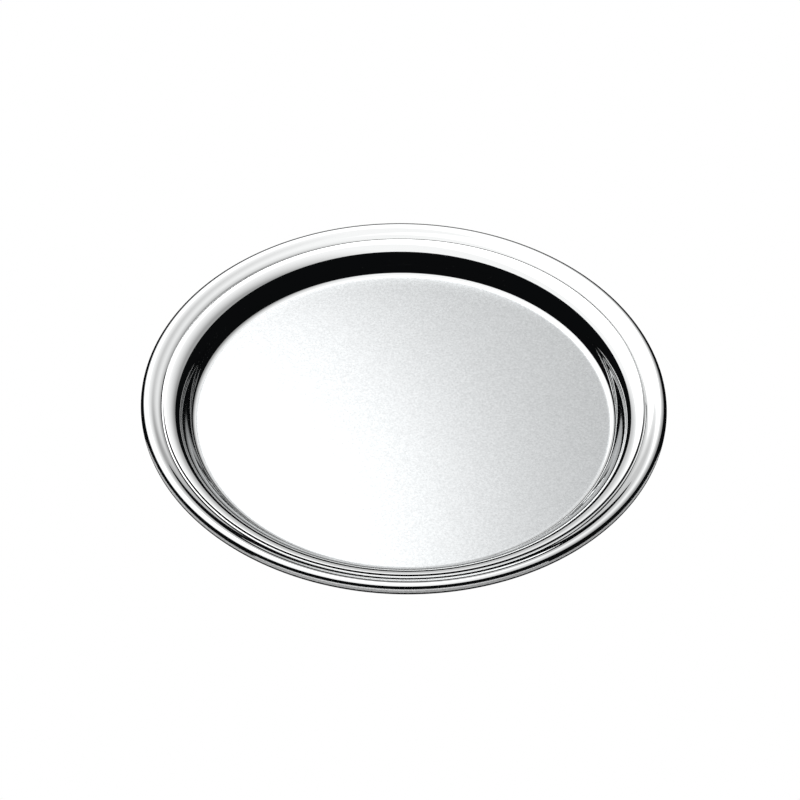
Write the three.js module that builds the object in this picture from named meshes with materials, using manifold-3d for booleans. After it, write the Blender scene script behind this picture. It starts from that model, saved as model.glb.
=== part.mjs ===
// Round serving tray in stainless steel: a pressed pan, a stepped border rolled round its edge, and
// the wire that stiffens the roll. Millimetres, +Z up. The origin is the middle of the flat underside.
import * as THREE from 'three';
import Module from 'manifold-3d';
import { mergeVertices } from 'three/addons/utils/BufferGeometryUtils.js';

const wasm = await Module();
wasm.setup();

// Overall size
const outerDiameter = 400;
const overallHeight = 24.5;

// Pan: flat floor, round corner, wall and shoulder, all of one pressed sheet
const panSheet = 1.0;
const cornerRadius = 11;          // where the floor turns up into the wall
const shoulderRadius = 27;        // where the wall rolls outwards into the rim
const shoulderSlope = 9.5;        // degrees, where the shoulder meets the border

// Border, from its inner edge outwards: a reed, then a rolled bead. Slopes are degrees up to the outside
const borderSheet = 1.0;
const reedNoseWidth = 3.0;
const reedBackWidth = 4.0;
const reedFootSlope = 38;
const reedNoseSlope = 21;
const reedBackSlope = 16;
const beadCheekWidth = 3.4;
const beadFootSlope = 28;
const beadCheekSlope = 15;
const beadRadius = 4.5;
const footEdge = 0.3;             // height of the border's thin inner edge

// Fits
const seatGap = 0.3;              // between the border's foot and the pan
const wireClearance = 0.3;        // between the wire and the inside of the bead
const lipGap = 0.8;               // open slot between the curled lip and the underside of the pan
const wireButtGap = 1.0;          // where the two ends of the wire meet

// Fineness of the round shapes
const turnSteps = 60;
const cornerSteps = 4;
const shoulderSteps = 6;
const reedSteps = 2;
const cheekSteps = 2;
const beadSteps = 4;
const curlSteps = 6;
const wireSides = 8;

const rad = THREE.MathUtils.degToRad;
const outerRadius = outerDiameter / 2;

// Rise of a convex stretch of sheet whose slope eases from slopeIn to slopeOut over a width
function stretchRadius(width, slopeIn, slopeOut) {
  return width / (Math.sin(rad(slopeIn)) - Math.sin(rad(slopeOut)));
}

function stretchRise(width, slopeIn, slopeOut) {
  return stretchRadius(width, slopeIn, slopeOut) * (Math.cos(rad(slopeOut)) - Math.cos(rad(slopeIn)));
}

// Places that the pan and the border share, in the half section: r outwards, z up
const bead = { r: outerRadius - beadRadius, z: overallHeight - beadRadius };
const cheekEnd = {
  r: bead.r - beadRadius * Math.sin(rad(beadCheekSlope)),
  z: bead.z + beadRadius * Math.cos(rad(beadCheekSlope)),
};
const valley = {
  r: cheekEnd.r - beadCheekWidth,
  z: cheekEnd.z - stretchRise(beadCheekWidth, beadFootSlope, beadCheekSlope),
};
const foot = {
  r: valley.r - reedBackWidth - reedNoseWidth,
  z: valley.z - stretchRise(reedBackWidth, reedNoseSlope, reedBackSlope)
    - stretchRise(reedNoseWidth, reedFootSlope, reedNoseSlope),
};
const seat = { r: foot.r, z: foot.z - footEdge - seatGap };

// The wall is as steep as the corner and the shoulder need to reach the seat from the floor
const wallAngle = Math.acos((cornerRadius + shoulderRadius * Math.cos(rad(shoulderSlope))
  - (seat.z - panSheet)) / (cornerRadius + shoulderRadius));
const shoulderCentre = {
  r: seat.r + shoulderRadius * Math.sin(rad(shoulderSlope)),
  z: seat.z - shoulderRadius * Math.cos(rad(shoulderSlope)),
};
const cornerCentre = {
  r: shoulderCentre.r - (cornerRadius + shoulderRadius) * Math.sin(wallAngle),
  z: panSheet + cornerRadius,
};
const flangeTop = shoulderCentre.z + shoulderRadius;
const flangeEdge = bead.r - beadRadius;

function arc(centre, radius, from, to, steps) {
  // Angles are radians from straight up, growing outwards
  const points = [];
  for (let i = 0; i <= steps; i += 1) {
    const angle = from + (to - from) * i / steps;
    points.push(new THREE.Vector2(centre.r + radius * Math.sin(angle), centre.z + radius * Math.cos(angle)));
  }
  return points;
}

function revolve(name, outline, material) {
  const geometry = new THREE.LatheGeometry(outline, turnSteps);
  geometry.rotateX(Math.PI / 2);
  const mesh = new THREE.Mesh(geometry, material);
  mesh.name = name;
  return mesh;
}

function panFace(depth) {
  // One face of the pan, from the rim inwards to the middle: depth 0 is the top, panSheet the underside
  return [
    new THREE.Vector2(flangeEdge, flangeTop - depth),
    ...arc(shoulderCentre, shoulderRadius - depth, 0, -wallAngle, shoulderSteps),
    ...arc(cornerCentre, cornerRadius + depth, Math.PI - wallAngle, Math.PI, cornerSteps).slice(1),
    new THREE.Vector2(0, panSheet - depth),
  ];
}

function makePan() {
  const outline = [...panFace(panSheet).reverse(), ...panFace(0)];
  return revolve('tray_pan', outline, new THREE.MeshStandardMaterial({
    color: '#cfd1d2', roughness: 0.12, metalness: 1.0,
  }));
}

function seatHeight(r) {
  // Height of the pan's rim under the border, with the gap that the border keeps to it
  const inward = Math.min(r - shoulderCentre.r, 0);
  return shoulderCentre.z + Math.sqrt(shoulderRadius ** 2 - inward ** 2) + seatGap;
}

function stretch(start, width, slopeIn, slopeOut, steps, depth) {
  // Points along a convex stretch that starts at a point, or along its underside at a depth below it
  const radius = stretchRadius(width, slopeIn, slopeOut);
  const centre = {
    r: start.r + radius * Math.sin(rad(slopeIn)),
    z: start.z - radius * Math.cos(rad(slopeIn)),
  };
  return arc(centre, radius - depth, -rad(slopeIn), -rad(slopeOut), steps);
}

function borderFace(depth) {
  // One face of the border, from its foot outwards and round the bead to the lip
  const reedTop = {
    r: foot.r + reedNoseWidth,
    z: foot.z + stretchRise(reedNoseWidth, reedFootSlope, reedNoseSlope),
  };
  const lipHeight = flangeTop - panSheet - lipGap;
  const curlEnd = 2 * Math.PI - Math.acos((lipHeight - bead.z) / (beadRadius - borderSheet));
  return [
    ...stretch(foot, reedNoseWidth, reedFootSlope, reedNoseSlope, reedSteps, depth),
    ...stretch(reedTop, reedBackWidth, reedNoseSlope, reedBackSlope, reedSteps, depth).slice(1),
    ...stretch(valley, beadCheekWidth, beadFootSlope, beadCheekSlope, cheekSteps, depth).slice(1),
    ...arc(bead, beadRadius - depth, 0, Math.PI / 2, beadSteps),
    ...arc(bead, beadRadius - depth, Math.PI / 2, curlEnd, curlSteps).slice(1),
  ];
}

function makeBorder() {
  const top = borderFace(0);
  const under = borderFace(borderSheet).map((point) => (
    point.x < valley.r ? new THREE.Vector2(point.x, Math.max(point.y, seatHeight(point.x))) : point
  ));
  const footInside = new THREE.Vector2(foot.r, seatHeight(foot.r));
  const outline = [footInside, ...under, ...top.reverse(), footInside];
  return revolve('border_ring', outline, new THREE.MeshStandardMaterial({
    color: '#d6d8d9', roughness: 0.06, metalness: 1.0,
  }));
}

function toSolid(geometry) {
  const plain = geometry.clone();
  plain.deleteAttribute('normal');
  plain.deleteAttribute('uv');
  const merged = mergeVertices(plain);
  return new wasm.Manifold(new wasm.Mesh({
    numProp: 3,
    vertProperties: new Float32Array(merged.attributes.position.array),
    triVerts: new Uint32Array(merged.index.array),
  }));
}

function toGeometry(solid) {
  const mesh = solid.getMesh();
  const geometry = new THREE.BufferGeometry();
  geometry.setAttribute('position', new THREE.BufferAttribute(mesh.vertProperties, 3));
  geometry.setIndex(new THREE.BufferAttribute(mesh.triVerts, 1));
  return geometry;
}

function makeWire() {
  // A ring bent from round wire, open where its two ends meet
  const wireRadius = beadRadius - borderSheet - wireClearance;
  const section = arc(bead, wireRadius, 2 * Math.PI, 0, wireSides);
  const ring = revolve('rim_wire', section, new THREE.MeshStandardMaterial({
    color: '#9a9c9e', roughness: 0.5, metalness: 1.0,
  }));
  const cut = new THREE.BoxGeometry(beadRadius * 2, wireButtGap, beadRadius * 2);
  cut.translate(-bead.r, 0, bead.z);
  ring.geometry = toGeometry(toSolid(ring.geometry).subtract(toSolid(cut)));
  return ring;
}

const tray = new THREE.Group();
tray.name = 'serving_tray';
tray.add(makePan(), makeBorder(), makeWire());

export default tray;
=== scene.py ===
"""A round serving tray in stainless steel, rebuilt round its engineering frame: the pressed pan, the border
rolled round its edge, the wire inside the roll, and a plain studio. Metres throughout, +Z up."""

import math

import bpy
from mathutils import Matrix, Vector


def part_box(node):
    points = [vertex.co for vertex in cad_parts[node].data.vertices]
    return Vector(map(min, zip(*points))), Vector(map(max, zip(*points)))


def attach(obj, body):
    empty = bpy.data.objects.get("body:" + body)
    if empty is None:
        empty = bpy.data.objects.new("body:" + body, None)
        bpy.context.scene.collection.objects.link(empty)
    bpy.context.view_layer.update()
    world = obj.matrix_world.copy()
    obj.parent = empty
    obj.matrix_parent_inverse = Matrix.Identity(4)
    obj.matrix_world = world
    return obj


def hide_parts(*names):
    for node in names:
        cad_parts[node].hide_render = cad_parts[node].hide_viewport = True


bl_info = {
    "name": "Round Serving Tray",
    "version": (1, 0, 0),
    "blender": (4, 5, 0),
    "location": "View3D > Sidebar > Tray",
    "description": "Builds a round stainless steel serving tray with a stepped, rolled border",
    "category": "Add Mesh",
}

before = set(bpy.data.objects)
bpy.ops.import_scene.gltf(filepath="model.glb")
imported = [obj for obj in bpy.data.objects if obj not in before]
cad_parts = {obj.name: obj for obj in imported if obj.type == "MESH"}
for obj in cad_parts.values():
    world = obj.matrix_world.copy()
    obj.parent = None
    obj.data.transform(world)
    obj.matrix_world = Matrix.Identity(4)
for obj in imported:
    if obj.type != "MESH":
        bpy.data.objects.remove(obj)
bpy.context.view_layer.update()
BORDER_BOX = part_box("border_ring")
PAN_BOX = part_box("tray_pan")
MM = 0.001
TURN_STEPS = 288                # sections in a full turn about the tray's axis
DEGREES_PER_STEP = 2.5          # longest step along a bend of a section
MERGE_DISTANCE = 0.005 * MM
CREASE_ANGLE = math.radians(35)     # an edge sharper than this isn't smoothed

# The pan
FLAT_LAND = 2 * MM              # ring of floor beside the corner that keeps the floor's shading flat
BROW_BEND = 0.5 * MM            # bend where the shoulder drops into the groove before the border
GROOVE_SLOPE = math.radians(38)
GROOVE_FLANK = 1.25 * MM        # straight side of the groove
GROOVE_BEND = 0.25 * MM         # bend at the groove's bottom, where the flange starts
HEEL = 1.5                      # how far outside the brow the flange's underside starts, in sheets

# The border: each bend's radius in mm, and its slopes in degrees where it starts and where it ends
BORDER_BENDS = (
    (2, 37, 31),                # foot
    (15, 31, 19.5),             # nose of the reed
    (22, 19.5, 28.5),           # hollow behind it
    (16.5, 28.5, 15),           # cheek that runs into the bead
)
FOOT_LAND = 0.84 * MM           # straight start of the foot

# The wire
WIRE_CLEARANCE = 0.3 * MM       # between the wire and the sheet rolled round it
BUTT_GAP = 1.0 * MM             # between the wire's two ends
WIRE_SIDES = 32

# The studio
TABLE_SIZE = 16
TABLE_LIGHT = 1.0
TABLE_Z = -0.6 * MM             # the table stays just clear of the tray
CARD_Z = -0.3 * MM              # and the cards on it lie between the two
ROUND_SIDES = 128               # of the round card and the panel
RING_SIDES = 96                 # of the flat card's inner edge
UNDER_CARD_RADIUS = 0.195
UNDER_CARD_LIGHT = 0.7
FLAT_CARD_RADII = (0.217, 1.2)
FLAT_CARD_BACK = -0.03          # the flat card ends here, so that it lies only in front
STANDING_CARD_SIZE = (2.4, 0.34)
STANDING_CARD_Y = -0.9
PANEL_PLACE = (-0.1, 0.5415, 0.7135)
PANEL_TILT = math.radians(-21)
PANEL_SHAPE = (1.08, 1.0, 1.0)  # its half width and half length
LAMP_PLACE = (-0.2, -0.035, 0.0)    # on the panel
LAMP_CORE = 0.29                # radius up to which the lamp is at its brightest
LAMP_EDGE = 0.45                # and at which it has faded out
CAMERA_TARGET = Vector((-3.0, 3.9, 14.0)) * MM


# Settings that a user would change

class PanSettings(bpy.types.PropertyGroup):
    """The pressed pan, from its floor outwards"""
    sheet: bpy.props.FloatProperty(
        name="Sheet", description="Thickness of the pan's sheet", default=1.0 * MM, unit="LENGTH")
    corner_radius: bpy.props.FloatProperty(
        name="Corner radius", description="Radius where the floor turns up into the wall",
        default=8.0 * MM, unit="LENGTH")
    wall_slope: bpy.props.FloatProperty(
        name="Wall slope", description="Slope of the steepest part of the wall",
        default=math.radians(60.0), subtype="ANGLE")
    easing_slope: bpy.props.FloatProperty(
        name="Easing slope", description="Slope where the tight bends ease into the slack wall",
        default=math.radians(50.0), subtype="ANGLE")
    shoulder_radius: bpy.props.FloatProperty(
        name="Shoulder radius", description="Radius where the wall rolls out into the rim",
        default=22.0 * MM, unit="LENGTH")
    brow_radius: bpy.props.FloatProperty(
        name="Brow radius", description="Distance from the axis to where the shoulder ends at the groove",
        default=182.15 * MM, unit="LENGTH")
    brow_height: bpy.props.FloatProperty(
        name="Brow height", description="Height of the shoulder where it ends at the groove",
        default=20.31 * MM, unit="LENGTH")
    brow_slope: bpy.props.FloatProperty(
        name="Brow slope", description="Slope of the shoulder where it ends at the groove",
        default=math.radians(10.0), subtype="ANGLE")
    flange_edge: bpy.props.FloatProperty(
        name="Flange edge", description="Radius of the pan's edge, hidden under the border",
        default=PAN_BOX[1][0], unit="LENGTH")
    satin_slope: bpy.props.FloatProperty(
        name="Satin slope", description="Slope of the corner up to which the floor's satin grinding runs",
        default=math.radians(14.0), subtype="ANGLE")


class BorderSettings(bpy.types.PropertyGroup):
    """The border, from its inner edge outwards: a reed, then a rolled bead"""
    outer_radius: bpy.props.FloatProperty(
        name="Outer radius", description="Half the tray's diameter",
        default=BORDER_BOX[1][0], unit="LENGTH")
    top: bpy.props.FloatProperty(
        name="Top", description="Height of the top of the bead", default=BORDER_BOX[1][2], unit="LENGTH")
    sheet: bpy.props.FloatProperty(
        name="Sheet", description="Thickness of the border's sheet", default=1.0 * MM, unit="LENGTH")
    bead_radius: bpy.props.FloatProperty(
        name="Bead radius", description="Outside radius of the rolled bead", default=4.5 * MM, unit="LENGTH")
    curl: bpy.props.FloatProperty(
        name="Curl", description="How far round the bead's sheet goes, from straight up to its lip",
        default=math.radians(237.0), subtype="ANGLE")


class FinishSettings(bpy.types.PropertyGroup):
    """Colours of the finishes"""
    polished: bpy.props.StringProperty(
        name="Polished", description="Mirror-polished steel, sRGB hex", default="#F1F2F2")
    satin: bpy.props.StringProperty(
        name="Satin", description="Satin-ground steel, sRGB hex", default="#C9CBCC")
    mill: bpy.props.StringProperty(
        name="Underside", description="Brushed steel under the pan, sRGB hex", default="#C4C5C6")
    wire: bpy.props.StringProperty(
        name="Wire", description="Drawn steel wire, sRGB hex", default="#9A9C9E")


class StageSettings(bpy.types.PropertyGroup):
    """The studio"""
    camera_distance: bpy.props.FloatProperty(
        name="Camera distance", description="From the middle of the tray", default=2.4, unit="LENGTH")
    camera_elevation: bpy.props.FloatProperty(
        name="Camera elevation", description="Above the table", default=math.radians(44.27), subtype="ANGLE")
    camera_roll: bpy.props.FloatProperty(
        name="Camera roll", description="Turn about the line of sight",
        default=math.radians(1.1), subtype="ANGLE")
    focal_length: bpy.props.FloatProperty(
        name="Focal length", description="On a sensor 36 mm wide", default=141.4)
    panel_light: bpy.props.FloatProperty(
        name="Panel light", description="Brightness of the overhead panel", default=1.05)
    lamp_light: bpy.props.FloatProperty(
        name="Lamp light", description="Brightness of the lamp behind the panel, as a share of the panel's",
        default=1.0)
    card: bpy.props.StringProperty(
        name="Card", description="White card in front of the tray, sRGB hex", default="#F2F2F2")
    surroundings: bpy.props.StringProperty(
        name="Surroundings", description="The dark studio beyond the panel and the cards, sRGB hex",
        default="#0B0C0D")


# Small tools

def linear(hex_colour):
    """Linear RGBA of an sRGB hex colour"""
    channels = [int(hex_colour[i:i + 2], 16) / 255 for i in (1, 3, 5)]
    return [c / 12.92 if c <= 0.04045 else ((c + 0.055) / 1.055) ** 2.4 for c in channels] + [1.0]


def add_node(tree, kind, settings=None, **inputs):
    """Adds a node, sets its properties, and fills or links its inputs, named with _ for a space"""
    node = tree.nodes.new(kind)
    for name, value in (settings or {}).items():
        setattr(node, name, value)
    for name, value in inputs.items():
        socket = node.inputs[int(name[1:])] if name[0] == "n" and name[1:].isdigit() else (
            node.inputs[name.replace("_", " ")])
        if isinstance(value, bpy.types.NodeSocket):
            tree.links.new(value, socket)
        else:
            socket.default_value = value
    return node


def new_material(name):
    """An empty node material and its tree"""
    material = bpy.data.materials.new(name)
    material.use_nodes = True
    material.node_tree.nodes.clear()
    return material, material.node_tree


class SectionPen:
    """Draws a section in the XZ plane from one vertex, by extruding it straight and spinning it round
    bends. It keeps its place and its heading, in radians counter-clockwise from outwards"""

    def __init__(self, name, r, z, heading):
        bpy.ops.object.select_all(action="DESELECT")
        bpy.ops.mesh.primitive_plane_add(size=MM, location=(r, 0, z))
        self.piece = bpy.context.active_object
        self.piece.name = name
        self.piece.data.name = name
        bpy.ops.object.mode_set(mode="EDIT")
        bpy.ops.mesh.merge(type="CENTER")
        self.r = r
        self.z = z
        self.heading = heading

    def line(self, length):
        """A straight line along the heading"""
        step = Vector((math.cos(self.heading), 0, math.sin(self.heading))) * length
        bpy.ops.mesh.extrude_region_move(TRANSFORM_OT_translate={"value": step})
        self.r += step.x
        self.z += step.z

    def line_to(self, r, z):
        """A straight line to a place, which sets the heading"""
        self.heading = math.atan2(z - self.z, r - self.r)
        self.line(math.hypot(r - self.r, z - self.z))

    def bend(self, radius, turn):
        """A bend of a radius, with a turn in radians that is positive to the left"""
        side = math.copysign(1.0, turn)
        centre_r = self.r - side * radius * math.sin(self.heading)
        centre_z = self.z + side * radius * math.cos(self.heading)
        steps = max(2, math.ceil(abs(math.degrees(turn)) / DEGREES_PER_STEP))
        bpy.ops.mesh.spin(steps=steps, angle=turn, center=(centre_r, 0, centre_z), axis=(0, 1, 0))
        self.heading += turn
        self.r = centre_r + side * radius * math.sin(self.heading)
        self.z = centre_z - side * radius * math.cos(self.heading)

    def revolve(self):
        """Spins the section about the tray's axis into a closed ring or disc"""
        bpy.ops.mesh.select_all(action="SELECT")
        bpy.ops.mesh.remove_doubles(threshold=MERGE_DISTANCE)
        bpy.ops.mesh.select_all(action="SELECT")
        bpy.ops.mesh.spin(steps=TURN_STEPS, angle=2 * math.pi, center=(0, 0, 0), axis=(0, 0, 1))
        close_piece(self.piece)
        return self.piece


def close_piece(piece):
    """Merges doubles, turns the faces outwards, smooths, and brings the origin to the row's origin"""
    bpy.ops.mesh.select_all(action="SELECT")
    bpy.ops.mesh.remove_doubles(threshold=MERGE_DISTANCE)
    bpy.ops.mesh.select_all(action="SELECT")
    bpy.ops.mesh.normals_make_consistent(inside=False)
    bpy.ops.object.mode_set(mode="OBJECT")
    bpy.ops.object.select_all(action="DESELECT")
    piece.select_set(True)
    bpy.context.view_layer.objects.active = piece
    bpy.ops.object.transform_apply(location=True, rotation=True, scale=True)
    bpy.ops.object.shade_smooth_by_angle(angle=CREASE_ANGLE)


# Finishes

def radius_of(tree, place):
    """Distance from the tray's axis"""
    flat = add_node(tree, "ShaderNodeVectorMath", {"operation": "MULTIPLY"}, n0=place, n1=(1, 1, 0))
    length = add_node(tree, "ShaderNodeVectorMath", {"operation": "LENGTH"}, n0=flat.outputs[0])
    return length.outputs["Value"]


def polished_steel(colour):
    """Stainless steel buffed to a mirror: it shows the studio in crisp white and black bands, a little
    softened by a faint haze from polishing, in patches about 35 mm across"""
    material, tree = new_material("mirror_polished_stainless_steel")
    place = add_node(tree, "ShaderNodeTexCoord").outputs["Object"]
    haze = add_node(tree, "ShaderNodeTexNoise", Vector=place, Scale=1 / (35 * MM), Detail=3.0,
                    Roughness=0.55)
    blur = add_node(tree, "ShaderNodeMapRange", Value=haze.outputs["Fac"], From_Min=0.3, From_Max=0.7,
                    To_Min=0.02, To_Max=0.045)
    shader = add_node(tree, "ShaderNodeBsdfPrincipled", Base_Color=linear(colour), Metallic=1.0,
                      Roughness=blur.outputs["Result"])
    add_node(tree, "ShaderNodeOutputMaterial", Surface=shader.outputs[0])
    return material


def satin_steel(colour):
    """Stainless steel ground to a fine satin: it blurs the studio into one soft, even glow, which
    sharpens towards a mirror at a low glance. The real grain is about 0.1 mm, too fine to show on a whole
    tray, so it is drawn at 1.6 mm and faint"""
    material, tree = new_material("satin_ground_stainless_steel")
    place = add_node(tree, "ShaderNodeTexCoord").outputs["Object"]
    grain = add_node(tree, "ShaderNodeTexNoise", Vector=place, Scale=1 / (1.6 * MM), Detail=2.0,
                     Roughness=0.7)
    glance = add_node(tree, "ShaderNodeLayerWeight", Blend=0.5)
    blur = add_node(tree, "ShaderNodeMapRange", Value=glance.outputs["Facing"], From_Min=0.45, From_Max=0.8,
                    To_Min=0.26, To_Max=0.05)
    tone = add_node(tree, "ShaderNodeMapRange", Value=grain.outputs["Fac"], From_Min=0.25, From_Max=0.75,
                    To_Min=0.86, To_Max=1.14)
    base = add_node(tree, "ShaderNodeVectorMath", {"operation": "SCALE"}, n0=linear(colour)[:3],
                    Scale=tone.outputs["Result"])
    shader = add_node(tree, "ShaderNodeBsdfPrincipled", Base_Color=base.outputs[0], Metallic=1.0,
                      Roughness=blur.outputs["Result"])
    add_node(tree, "ShaderNodeOutputMaterial", Surface=shader.outputs[0])
    return material


def brushed_steel(colour):
    """Stainless steel brushed as it turns: fine rings round the axis, under the pan, which draw each
    highlight out across them. The real rings are about 0.1 mm wide, so they are drawn at 0.8 mm"""
    material, tree = new_material("brushed_stainless_steel")
    place = add_node(tree, "ShaderNodeTexCoord").outputs["Object"]
    rings = add_node(tree, "ShaderNodeTexNoise", {"noise_dimensions": "1D"}, W=radius_of(tree, place),
                     Scale=1 / (0.8 * MM), Detail=3.0)
    blur = add_node(tree, "ShaderNodeMapRange", Value=rings.outputs["Fac"], From_Min=0.3, From_Max=0.7,
                    To_Min=0.30, To_Max=0.42)
    shader = add_node(tree, "ShaderNodeBsdfPrincipled", Base_Color=linear(colour), Metallic=1.0,
                      Roughness=blur.outputs["Result"])
    add_node(tree, "ShaderNodeOutputMaterial", Surface=shader.outputs[0])
    return material


def drawn_wire_steel(colour):
    """Steel wire as it leaves the drawing die: dull, with faint patches of roughness. The real ones are
    finer, and they are drawn at 0.6 mm"""
    material, tree = new_material("drawn_steel_wire")
    place = add_node(tree, "ShaderNodeTexCoord").outputs["Object"]
    patches = add_node(tree, "ShaderNodeTexNoise", Vector=place, Scale=1 / (0.6 * MM), Detail=2.0)
    blur = add_node(tree, "ShaderNodeMapRange", Value=patches.outputs["Fac"], To_Min=0.45, To_Max=0.6)
    shader = add_node(tree, "ShaderNodeBsdfPrincipled", Base_Color=linear(colour), Metallic=1.0,
                      Roughness=blur.outputs["Result"])
    add_node(tree, "ShaderNodeOutputMaterial", Surface=shader.outputs[0])
    return material


def give(piece, *materials):
    """Gives a piece its materials, in slots in that order"""
    piece.data.materials.clear()
    for material in materials:
        piece.data.materials.append(material)


# Pieces

def wall_radius(pan):
    """Radius of the wall's two slack bends, so that corner, wall and shoulder rise to the brow together"""
    rise = pan.brow_height - pan.sheet
    corner_rise = pan.corner_radius * (1 - math.cos(pan.easing_slope))
    shoulder_rise = pan.shoulder_radius * (math.cos(pan.brow_slope) - math.cos(pan.easing_slope))
    slack_rise = 2 * (math.cos(pan.easing_slope) - math.cos(pan.wall_slope))
    return (rise - corner_rise - shoulder_rise) / slack_rise


def floor_radius(pan):
    """Radius of the flat floor"""
    corner = pan.corner_radius * math.sin(pan.easing_slope)
    wall = 2 * wall_radius(pan) * (math.sin(pan.wall_slope) - math.sin(pan.easing_slope))
    shoulder = pan.shoulder_radius * (math.sin(pan.easing_slope) - math.sin(pan.brow_slope))
    return pan.brow_radius - shoulder - wall - corner


class TRAY_OT_pan(bpy.types.Operator):
    """The pan: one sheet pressed into floor, corner, wall, shoulder, groove and hidden flange"""
    bl_idname = "tray.pan"
    bl_label = "Tray pan"

    def execute(self, context):
        pan = context.scene.tray_pan_settings
        finish = context.scene.tray_finish_settings
        floor = floor_radius(pan)
        wall = wall_radius(pan)
        slack = pan.wall_slope - pan.easing_slope
        # Along the upper face from the middle of the floor
        pen = SectionPen("tray_pan_pressed", 0, pan.sheet, 0.0)
        pen.line(floor - FLAT_LAND)
        pen.line(FLAT_LAND)
        pen.bend(pan.corner_radius, pan.easing_slope)
        pen.bend(wall, slack)
        pen.bend(wall, -slack)
        pen.bend(pan.shoulder_radius, pan.brow_slope - pan.easing_slope)
        pen.bend(BROW_BEND, -GROOVE_SLOPE - pan.brow_slope)
        pen.line(GROOVE_FLANK)
        pen.bend(GROOVE_BEND, GROOVE_SLOPE)
        flange_top = pen.z
        pen.line(pan.flange_edge - pan.sheet / 2 - pen.r)
        # Round the flange's edge, and back along the lower face
        pen.bend(pan.sheet / 2, -math.pi)
        pen.line_to(pan.brow_radius + HEEL * pan.sheet, flange_top - pan.sheet)
        pen.line_to(pan.brow_radius + pan.sheet * math.sin(pan.brow_slope),
                    pan.brow_height - pan.sheet * math.cos(pan.brow_slope))
        pen.heading = math.pi + pan.brow_slope
        pen.bend(pan.shoulder_radius - pan.sheet, pan.easing_slope - pan.brow_slope)
        pen.bend(wall - pan.sheet, slack)
        pen.bend(wall + pan.sheet, -slack)
        pen.bend(pan.corner_radius + pan.sheet, -pan.easing_slope)
        pen.line(FLAT_LAND)
        pen.line(pen.r)
        piece = pen.revolve()
        give(piece, polished_steel(finish.polished), satin_steel(finish.satin), brushed_steel(finish.mill))
        satin_slot = 1
        brushed_slot = 2
        satin_edge = floor + pan.corner_radius * math.sin(pan.satin_slope)
        for face in piece.data.polygons:
            if face.normal.z < 0:
                face.material_index = brushed_slot
            elif math.hypot(face.center.x, face.center.y) < satin_edge:
                face.material_index = satin_slot
        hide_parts("tray_pan")
        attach(piece, "root")
        return {"FINISHED"}


class TRAY_OT_border(bpy.types.Operator):
    """The border: a second sheet formed into a reed and a bead, rolled round the pan's flange"""
    bl_idname = "tray.border"
    bl_label = "Border ring"

    def execute(self, context):
        border = context.scene.tray_border_settings
        finish = context.scene.tray_finish_settings
        bends = [(radius * MM, math.radians(start), math.radians(end))
                 for radius, start, end in BORDER_BENDS]
        foot_slope = bends[0][1]
        cheek_slope = bends[-1][2]
        # The bead's place is given, and the foot's follows from the bends between them
        bead_r = border.outer_radius - border.bead_radius
        bead_z = border.top - border.bead_radius
        width = sum(radius * abs(math.sin(start) - math.sin(end)) for radius, start, end in bends)
        rise = sum(radius * abs(math.cos(end) - math.cos(start)) for radius, start, end in bends)
        cheek_r = bead_r - border.bead_radius * math.sin(cheek_slope)
        cheek_z = bead_z + border.bead_radius * math.cos(cheek_slope)
        foot_r = cheek_r - width - FOOT_LAND * math.cos(foot_slope)
        foot_z = cheek_z - rise - FOOT_LAND * math.sin(foot_slope)
        pen = SectionPen("border_ring_rolled", foot_r, foot_z, foot_slope)
        pen.line(FOOT_LAND)
        for radius, start, end in bends:
            pen.bend(radius, end - start)
        pen.bend(border.bead_radius, -cheek_slope - border.curl)
        # Round the lip, and back along the sheet's other face to a foot that thins to an edge
        pen.bend(border.sheet / 2, -math.pi)
        pen.bend(border.bead_radius - border.sheet, cheek_slope + border.curl)
        for radius, start, end in reversed(bends[1:]):
            inner = radius + border.sheet if end > start else radius - border.sheet
            pen.bend(inner, start - end)
        pen.line_to(foot_r, foot_z)
        piece = pen.revolve()
        give(piece, polished_steel(finish.polished))
        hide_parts("border_ring")
        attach(piece, "root")
        return {"FINISHED"}


class TRAY_OT_wire(bpy.types.Operator):
    """The wire: a ring bent from round wire inside the bead, with its two ends butted"""
    bl_idname = "tray.wire"
    bl_label = "Rim wire"

    def execute(self, context):
        border = context.scene.tray_border_settings
        finish = context.scene.tray_finish_settings
        wire_radius = border.bead_radius - border.sheet - WIRE_CLEARANCE
        ring_radius = border.outer_radius - border.bead_radius
        turn = 2 * math.pi - BUTT_GAP / ring_radius
        bpy.ops.object.select_all(action="DESELECT")
        bpy.ops.mesh.primitive_circle_add(
            vertices=WIRE_SIDES, radius=wire_radius, fill_type="NGON", rotation=(math.pi / 2, 0, 0),
            location=(-ring_radius, 0, border.top - border.bead_radius))
        piece = context.active_object
        piece.name = "rim_wire_ring"
        piece.data.name = piece.name
        bpy.ops.object.mode_set(mode="EDIT")
        bpy.ops.mesh.select_all(action="SELECT")
        bpy.ops.mesh.spin(steps=TURN_STEPS, angle=turn, center=(0, 0, 0), axis=(0, 0, 1))
        close_piece(piece)
        give(piece, drawn_wire_steel(finish.wire))
        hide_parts("rim_wire")
        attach(piece, "root")
        return {"FINISHED"}


# Stage

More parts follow.
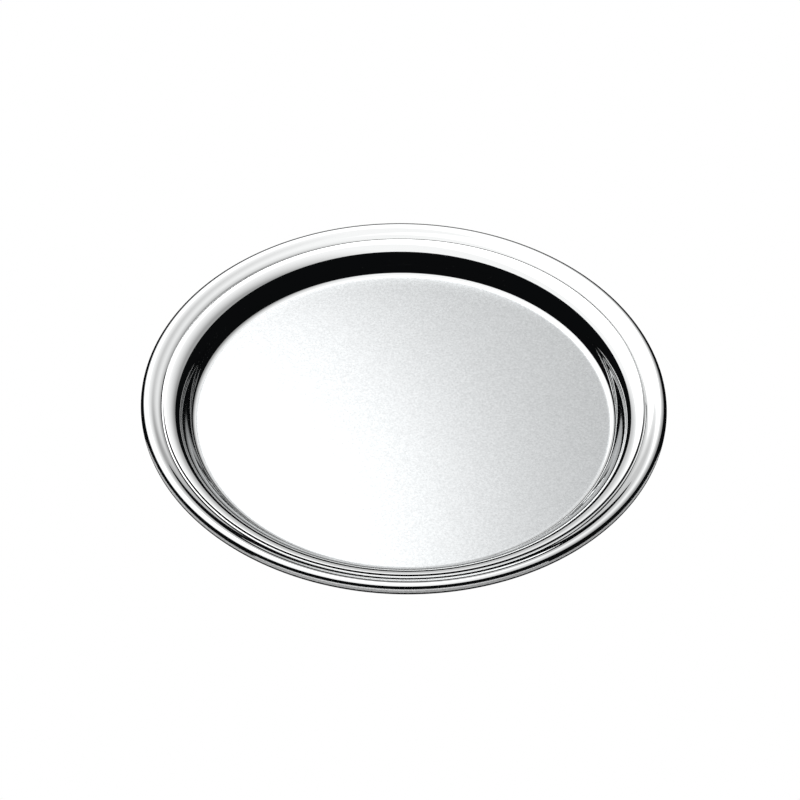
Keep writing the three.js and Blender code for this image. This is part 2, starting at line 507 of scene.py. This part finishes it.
def graded_panel(strength, lamp):
    """The overhead panel's glow: a soft bright lamp behind it on the left, dimmer towards its right and
    far edges"""
    material, tree = new_material("overhead_panel_glow")
    place = add_node(tree, "ShaderNodeTexCoord").outputs["Object"]
    parts = add_node(tree, "ShaderNodeSeparateXYZ", Vector=place)
    right = add_node(tree, "ShaderNodeMapRange", Value=parts.outputs["X"], From_Min=0.22, From_Max=0.75,
                     To_Min=1.0, To_Max=0.36)
    far = add_node(tree, "ShaderNodeMapRange", {"interpolation_type": "SMOOTHSTEP"},
                   Value=parts.outputs["Y"], From_Min=0.25, From_Max=0.7, To_Min=1.0, To_Max=0.6)
    even = add_node(tree, "ShaderNodeMath", {"operation": "MULTIPLY"}, n0=right.outputs[0],
                    n1=far.outputs[0])
    from_lamp = add_node(tree, "ShaderNodeVectorMath", {"operation": "DISTANCE"}, n0=place, n1=LAMP_PLACE)
    spot = add_node(tree, "ShaderNodeMapRange", {"interpolation_type": "SMOOTHSTEP"},
                    Value=from_lamp.outputs["Value"], From_Min=LAMP_CORE, From_Max=LAMP_EDGE, To_Min=lamp,
                    To_Max=0.0)
    both = add_node(tree, "ShaderNodeMath", {"operation": "ADD"}, n0=even.outputs[0], n1=spot.outputs[0])
    power = add_node(tree, "ShaderNodeMath", {"operation": "MULTIPLY"}, n0=both.outputs[0], n1=strength)
    shader = add_node(tree, "ShaderNodeEmission", Strength=power.outputs[0])
    add_node(tree, "ShaderNodeOutputMaterial", Surface=shader.outputs[0])
    return material


def lit_white(name, strength):
    """White acrylic lit evenly from behind, which takes no shadow"""
    material, tree = new_material(name)
    shader = add_node(tree, "ShaderNodeEmission", Color=linear("#FFFFFF"), Strength=strength)
    add_node(tree, "ShaderNodeOutputMaterial", Surface=shader.outputs[0])
    return material


def white_card(colour):
    """White card: matt, and as bright as the light that falls on it"""
    material, tree = new_material("white_card")
    cover = add_node(tree, "ShaderNodeBsdfDiffuse", Color=linear(colour))
    add_node(tree, "ShaderNodeOutputMaterial", Surface=cover.outputs[0])
    return material


def add_sheet(name, material, size, location, tilt=0.0):
    """A flat sheet of a width and a length, tilted about the X axis"""
    bpy.ops.object.select_all(action="DESELECT")
    bpy.ops.mesh.primitive_plane_add(size=1.0, location=location, rotation=(tilt, 0, 0))
    sheet = bpy.context.active_object
    sheet.name = name
    sheet.scale = (size[0], size[1], 1)
    sheet.data.materials.append(material)
    return sheet


def add_round_sheet(name, material, radius, location, tilt=0.0):
    """A flat round sheet, tilted about the X axis"""
    bpy.ops.object.select_all(action="DESELECT")
    bpy.ops.mesh.primitive_circle_add(
        vertices=ROUND_SIDES, radius=radius, fill_type="NGON", location=location, rotation=(tilt, 0, 0))
    sheet = bpy.context.active_object
    sheet.name = name
    sheet.data.materials.append(material)
    return sheet


def add_ring_sheet(name, material, inner_radius, outer_radius):
    """The front part of a flat ring of sheet that lies round the tray"""
    bpy.ops.object.select_all(action="DESELECT")
    bpy.ops.mesh.primitive_circle_add(vertices=RING_SIDES, radius=inner_radius, location=(0, 0, CARD_Z))
    sheet = bpy.context.active_object
    sheet.name = name
    bpy.ops.object.mode_set(mode="EDIT")
    bpy.ops.mesh.select_all(action="SELECT")
    bpy.ops.mesh.extrude_region_move()
    grow = outer_radius / inner_radius
    bpy.ops.transform.resize(value=(grow, grow, 1))
    bpy.ops.mesh.select_all(action="SELECT")
    bpy.ops.mesh.bisect(plane_co=(0, FLAT_CARD_BACK, 0), plane_no=(0, 1, 0), clear_outer=True)
    bpy.ops.object.mode_set(mode="OBJECT")
    sheet.data.materials.append(material)
    return sheet


class TRAY_OT_stage(bpy.types.Operator):
    """A pale table, white cards under and in front of the tray, a big overhead panel with a lamp behind it,
    and the camera. The cards show only in the steel"""
    bl_idname = "tray.stage"
    bl_label = "Studio"

    def execute(self, context):
        stage = context.scene.tray_stage_settings
        table = add_sheet("studio_table", lit_white("lit_table_top", TABLE_LIGHT),
                          (TABLE_SIZE, TABLE_SIZE), (0, 0, TABLE_Z))
        table.visible_glossy = False
        flat_card = add_ring_sheet("studio_front_card_flat", white_card(stage.card), *FLAT_CARD_RADII)
        standing_card = add_sheet(
            "studio_front_card_standing", flat_card.data.materials[0], STANDING_CARD_SIZE,
            (0, STANDING_CARD_Y, STANDING_CARD_SIZE[1] / 2), math.pi / 2)
        under_card = add_round_sheet("studio_card_under_tray",
                                     lit_white("lit_card_under_tray", UNDER_CARD_LIGHT), UNDER_CARD_RADIUS,
                                     (0, 0, CARD_Z))
        for card in (flat_card, standing_card, under_card):
            card.visible_camera = False
            card.visible_diffuse = False
            card.visible_shadow = False
        panel = add_round_sheet("overhead_panel", graded_panel(stage.panel_light, stage.lamp_light), 1.0,
                                PANEL_PLACE, PANEL_TILT)
        panel.scale = PANEL_SHAPE
        bpy.ops.object.transform_apply(location=False, rotation=False, scale=True)
        panel.visible_camera = False
        context.scene.world = bpy.data.worlds.new("dark_studio")
        context.scene.world.use_nodes = True
        background = context.scene.world.node_tree.nodes["Background"]
        background.inputs["Color"].default_value = linear(stage.surroundings)
        background.inputs["Strength"].default_value = 1.0
        context.scene.view_settings.view_transform = "Standard"
        self.add_camera(context.scene, stage)
        return {"FINISHED"}

    def add_camera(self, scene, stage):
        """A camera in front of the tray that looks down at it through a long lens"""
        data = bpy.data.cameras.new("camera")
        data.sensor_width = 36
        data.lens = stage.focal_length
        data.clip_end = 20
        camera = bpy.data.objects.new("camera", data)
        scene.collection.objects.link(camera)
        back = Vector((0, -math.cos(stage.camera_elevation), math.sin(stage.camera_elevation)))
        camera.matrix_world = (
            Matrix.Translation(CAMERA_TARGET + back * stage.camera_distance)
            @ Matrix.Rotation(math.pi / 2 - stage.camera_elevation, 4, "X")
            @ Matrix.Rotation(stage.camera_roll, 4, "Z"))
        scene.camera = camera


class TRAY_PT_sidebar(bpy.types.Panel):
    """Lists the pieces of the tray"""
    bl_idname = "TRAY_PT_sidebar"
    bl_label = "Serving Tray"
    bl_space_type = "VIEW_3D"
    bl_region_type = "UI"
    bl_category = "Tray"

    def draw(self, context):
        """Buttons for the pieces, then their settings"""
        for operator in OPERATORS:
            self.layout.operator(operator.bl_idname)
        for name in SETTINGS:
            settings = getattr(context.scene, name)
            box = self.layout.box()
            for prop in settings.bl_rna.properties:
                if prop.identifier not in {"rna_type", "name"}:
                    box.prop(settings, prop.identifier)


OPERATORS = (TRAY_OT_pan, TRAY_OT_border, TRAY_OT_wire, TRAY_OT_stage)
SETTINGS = {
    "tray_pan_settings": PanSettings,
    "tray_border_settings": BorderSettings,
    "tray_finish_settings": FinishSettings,
    "tray_stage_settings": StageSettings,
}


def register():
    for group in (*SETTINGS.values(), *OPERATORS, TRAY_PT_sidebar):
        bpy.utils.register_class(group)
    for name, group in SETTINGS.items():
        setattr(bpy.types.Scene, name, bpy.props.PointerProperty(type=group))


def unregister():
    for name in SETTINGS:
        delattr(bpy.types.Scene, name)
    for group in reversed((*SETTINGS.values(), *OPERATORS, TRAY_PT_sidebar)):
        bpy.utils.unregister_class(group)


def main():
    register()
    bpy.ops.tray.pan()
    bpy.ops.tray.border()
    bpy.ops.tray.wire()
    bpy.ops.tray.stage()


if __name__ == "__main__":
    main()
